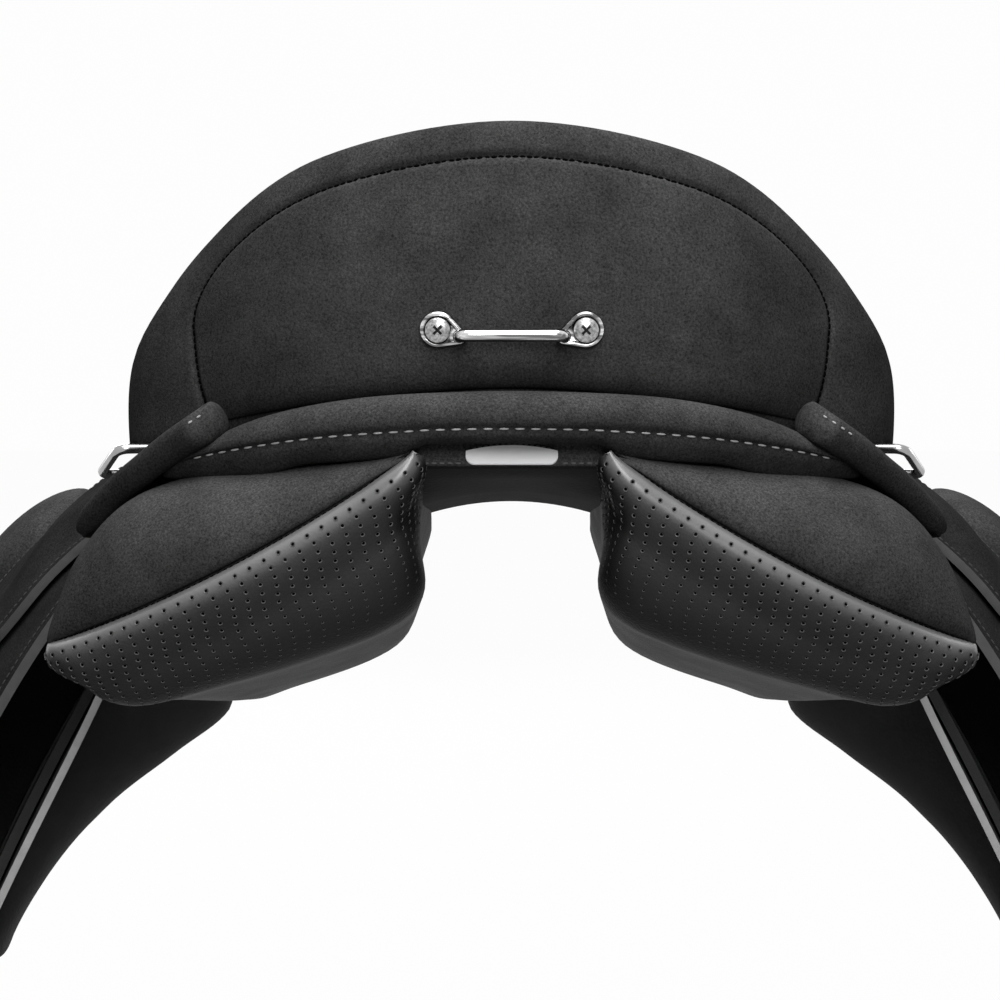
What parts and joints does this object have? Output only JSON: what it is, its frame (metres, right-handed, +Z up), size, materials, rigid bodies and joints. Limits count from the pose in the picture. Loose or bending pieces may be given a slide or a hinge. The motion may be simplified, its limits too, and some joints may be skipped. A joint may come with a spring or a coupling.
{
  "type": "endurance saddle",
  "caption": "Black suede endurance saddle with a high padded cantle, perforated panels, lifting flaps and skirts, and steel dee rings.",
  "frame": {"origin": "on the middle plane, at the level where the panels bear on the horse's back, half way along the seat", "axes": "+X to the saddle's right side, +Y to the front, +Z up"},
  "size_m": [0.6258, 0.4926, 0.4922],
  "materials": {
    "suede": "black suede with a short nap",
    "smooth_leather": "black smooth leather, semi matt",
    "perforated_leather": "black soft leather, semi gloss, punched",
    "bright_steel": "polished stainless steel",
    "steel": "plain steel",
    "tree_wood": "dark stained laminate",
    "foam": "foam padding, hidden",
    "white_plate": "plain white"
  },
  "bodies": {
    "saddle": {"badge_plate": "white_plate", "billet_front_left": "smooth_leather", "billet_front_right": "smooth_leather", "billet_rear_left": "smooth_leather", "billet_rear_right": "smooth_leather", "cantle_back": "suede", "cantle_bar": "bright_steel", "cantle_bar_screws": "bright_steel", "dee_tab_front_left": "smooth_leather", "dee_tab_front_right": "smooth_leather", "dee_tab_rear_left": "smooth_leather", "dee_tab_rear_right": "smooth_leather", "gullet_lining": "smooth_leather", "gullet_plate": "steel", "gullet_plate_screws": "steel", "gullet_strip": "suede", "knee_roll_left": "smooth_leather", "knee_roll_right": "smooth_leather", "panel_collar": "suede", "panel_core_left": "foam", "panel_core_right": "foam", "panel_facing_left": "perforated_leather", "panel_facing_right": "perforated_leather", "panel_fore_left": "smooth_leather", "panel_fore_right": "smooth_leather", "panel_gusset_left": "suede", "panel_gusset_right": "suede", "pommel_facing": "suede", "rear_skirt_left": "suede", "rear_skirt_right": "suede", "seat_cover": "suede", "seat_foam": "foam", "stirrup_bar_left": "steel", "stirrup_bar_right": "steel", "stirrup_bar_rivets": "steel", "sweat_flap_left": "smooth_leather", "sweat_flap_right": "smooth_leather", "tree_rail_left": "tree_wood", "tree_rail_right": "tree_wood", "tree_shell": "tree_wood"},
    "flap_body_left": {"flap_left": "suede", "knee_block_left": "suede"},
    "skirt_body_left": {"skirt_left": "suede"},
    "dee_rear_left": {"dee_ring_rear_left": "bright_steel"},
    "dee_front_left": {"dee_ring_front_left": "bright_steel"},
    "flap_body_right": {"flap_right": "suede", "knee_block_right": "suede"},
    "skirt_body_right": {"skirt_right": "suede"},
    "dee_rear_right": {"dee_ring_rear_right": "bright_steel"},
    "dee_front_right": {"dee_ring_front_right": "bright_steel"}
  },
  "joints": [
    {"name": "flap_lift_left", "type": "hinge", "parent": "saddle", "child": "flap_body_left", "pos_m": [-0.138, -0.04, 0.1], "axis": [0.2334, 0.9724, 0], "range_deg": [0, 25]},
    {"name": "flap_lift_right", "type": "hinge", "parent": "saddle", "child": "flap_body_right", "pos_m": [0.138, -0.04, 0.1], "axis": [0.2334, -0.9724, 0], "range_deg": [0, 25]},
    {"name": "skirt_lift_left", "type": "hinge", "parent": "flap_body_left", "child": "skirt_body_left", "pos_m": [-0.12612, 0.023, 0.10575], "axis": [0.2451, 0.9695, 0.007], "range_deg": [0, 30]},
    {"name": "skirt_lift_right", "type": "hinge", "parent": "flap_body_right", "child": "skirt_body_right", "pos_m": [0.12612, 0.023, 0.10575], "axis": [0.2451, -0.9695, -0.007], "range_deg": [0, 30]},
    {"name": "dee_rear_swing_left", "type": "hinge", "parent": "saddle", "child": "dee_rear_left", "pos_m": [-0.1505, -0.161, 0.1105], "axis": [-0.3301, 0.8403, -0.4301], "range_deg": [-12, 25]},
    {"name": "dee_rear_swing_right", "type": "hinge", "parent": "saddle", "child": "dee_rear_right", "pos_m": [0.1505, -0.161, 0.1105], "axis": [-0.3301, -0.8403, 0.4301], "range_deg": [-12, 25]},
    {"name": "dee_front_swing_left", "type": "hinge", "parent": "saddle", "child": "dee_front_left", "pos_m": [-0.088, 0.178, 0.124], "axis": [0.4803, 0.7404, 0.4703], "range_deg": [-25, 40]},
    {"name": "dee_front_swing_right", "type": "hinge", "parent": "saddle", "child": "dee_front_right", "pos_m": [0.088, 0.178, 0.124], "axis": [0.4803, -0.7404, -0.4703], "range_deg": [-25, 40]}
  ]
}
